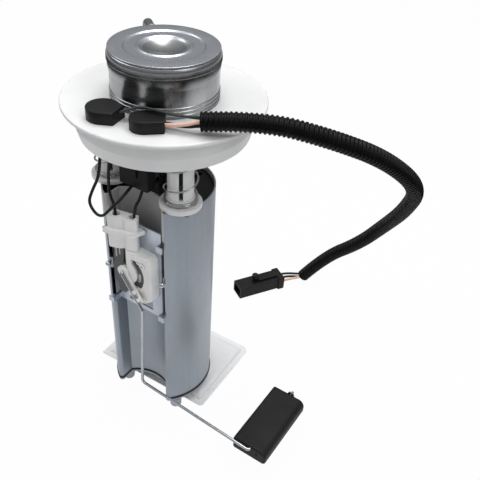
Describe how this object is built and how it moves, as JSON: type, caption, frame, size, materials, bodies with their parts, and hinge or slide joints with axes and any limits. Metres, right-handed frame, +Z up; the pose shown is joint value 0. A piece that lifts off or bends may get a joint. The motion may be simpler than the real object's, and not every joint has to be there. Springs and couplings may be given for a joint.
{
  "type": "in-tank fuel pump module",
  "caption": "In-tank fuel pump module with filter can, sprung reservoir, strainer, level sender with float arm and wiring loom.",
  "frame": {"origin": "centre of the tank spigot at the underside of the flange's lip", "axes": "+Z up out of the tank along the spigot's axis, -Y towards the level sender, +X towards the float"},
  "size_m": [0.2499, 0.2576, 0.3131],
  "materials": {
    "acetal_white": "satin moulded acetal",
    "black_plastic": "fine satin moulding",
    "shell_grey": "satin zinc-plated sheet",
    "can_steel": "satin grey plated and lacquered steel",
    "bright_steel": "drawn bright wire",
    "spring_steel": "oiled spring wire",
    "zinc_steel": "bright zinc plate",
    "alloy": "die cast",
    "copper": "tinned copper alloy",
    "iron": "laminated iron and carbon",
    "resistor_dark": "printed ceramic card",
    "rubber_black": "matt",
    "conduit_grey": "corrugated conduit, semi-matt",
    "filter_paper": "pleated resin paper",
    "strainer_cloth": "woven nylon mesh",
    "wire_black_pvc": "wire insulation",
    "wire_pink_pvc": "wire insulation",
    "wire_grey_pvc": "wire insulation"
  },
  "bodies": {
    "flange_assembly": {"flange": "acetal_white", "filter_can_body": "can_steel", "filter_can_lid": "can_steel", "fuel_outlet_tube": "can_steel", "filter_element": "filter_paper", "regulator_housing": "black_plastic", "regulator_spring": "spring_steel", "sender_terminal_cap": "black_plastic", "pump_terminal_cap": "black_plastic", "terminal_pins": "copper", "strut_posts": "black_plastic", "return_springs": "spring_steel", "harness_connector": "black_plastic", "fuel_hose": "rubber_black", "hose_clamp_upper": "bright_steel", "loop_wire": "wire_black_pvc", "sender_signal_wire": "wire_black_pvc", "sender_ground_wire": "wire_black_pvc", "pump_leads": "wire_black_pvc", "wire_pink": "wire_pink_pvc", "wire_black": "wire_black_pvc", "wires_grey": "wire_grey_pvc", "loom": "conduit_grey", "tail_wires_black": "wire_black_pvc", "tail_wire_pink": "wire_pink_pvc", "connector_housing": "black_plastic", "connector_cap": "black_plastic", "connector_lock": "black_plastic", "connector_terminals": "copper"},
    "reservoir": {"reservoir_shell": "shell_grey", "reservoir_cover": "black_plastic", "base_seal": "rubber_black", "reservoir_base": "shell_grey", "strut_guides": "acetal_white", "strainer": "strainer_cloth", "strainer_neck": "acetal_white", "pump_isolator": "rubber_black", "pump_shell": "can_steel", "pump_inlet_cover": "alloy", "pump_channel_plate": "alloy", "pump_magnets": "iron", "pump_brushes": "iron", "pump_outlet_cover": "black_plastic", "hose_clamp_lower": "bright_steel", "sender_bracket": "zinc_steel", "bracket_rivets": "bright_steel", "sender_housing": "acetal_white", "resistor_card": "resistor_dark", "sender_connector": "acetal_white", "sender_contacts": "alloy"},
    "pump_rotor": {"motor_shaft": "bright_steel", "armature": "iron", "commutator": "copper", "impeller": "black_plastic"},
    "check_valve": {"check_valve_poppet": "black_plastic"},
    "pressure_valve": {"regulator_valve": "bright_steel"},
    "float_arm": {"float_arm_wire": "bright_steel", "wiper_carrier": "acetal_white"},
    "float_body": {"float": "black_plastic"}
  },
  "joints": [
    {"name": "reservoir_slide", "type": "slide", "parent": "flange_assembly", "child": "reservoir", "axis": [0, 0, 1], "range_m": [0, 0.017], "stiffness_N_per_m": 600, "springref_m": -0.03, "deforming": ["return_springs", "fuel_hose", "loop_wire", "sender_signal_wire", "sender_ground_wire", "pump_leads"]},
    {"name": "rotor_spin", "type": "hinge", "parent": "reservoir", "child": "pump_rotor", "pos_m": [0.005, -0.0065, -0.2], "axis": [0, 0, 1], "continuous": true},
    {"name": "check_valve_lift", "type": "slide", "parent": "reservoir", "child": "check_valve", "axis": [0, 0, 1], "range_m": [0, 0.002], "stiffness_N_per_m": 60, "springref_m": -0.005},
    {"name": "pressure_valve_lift", "type": "slide", "parent": "flange_assembly", "child": "pressure_valve", "axis": [0, 0, 1], "range_m": [0, 0.0015], "stiffness_N_per_m": 800, "springref_m": -0.003, "deforming": ["regulator_spring"]},
    {"name": "float_arm_swing", "type": "hinge", "parent": "reservoir", "child": "float_arm", "pos_m": [0.0009, -0.05, -0.1216], "axis": [0, -1, 0], "range_deg": [0, 62]},
    {"name": "float_swivel", "type": "hinge", "parent": "float_arm", "child": "float_body", "pos_m": [0.126, -0.03, -0.2445], "axis": [0, -1, 0], "continuous": true}
  ]
}
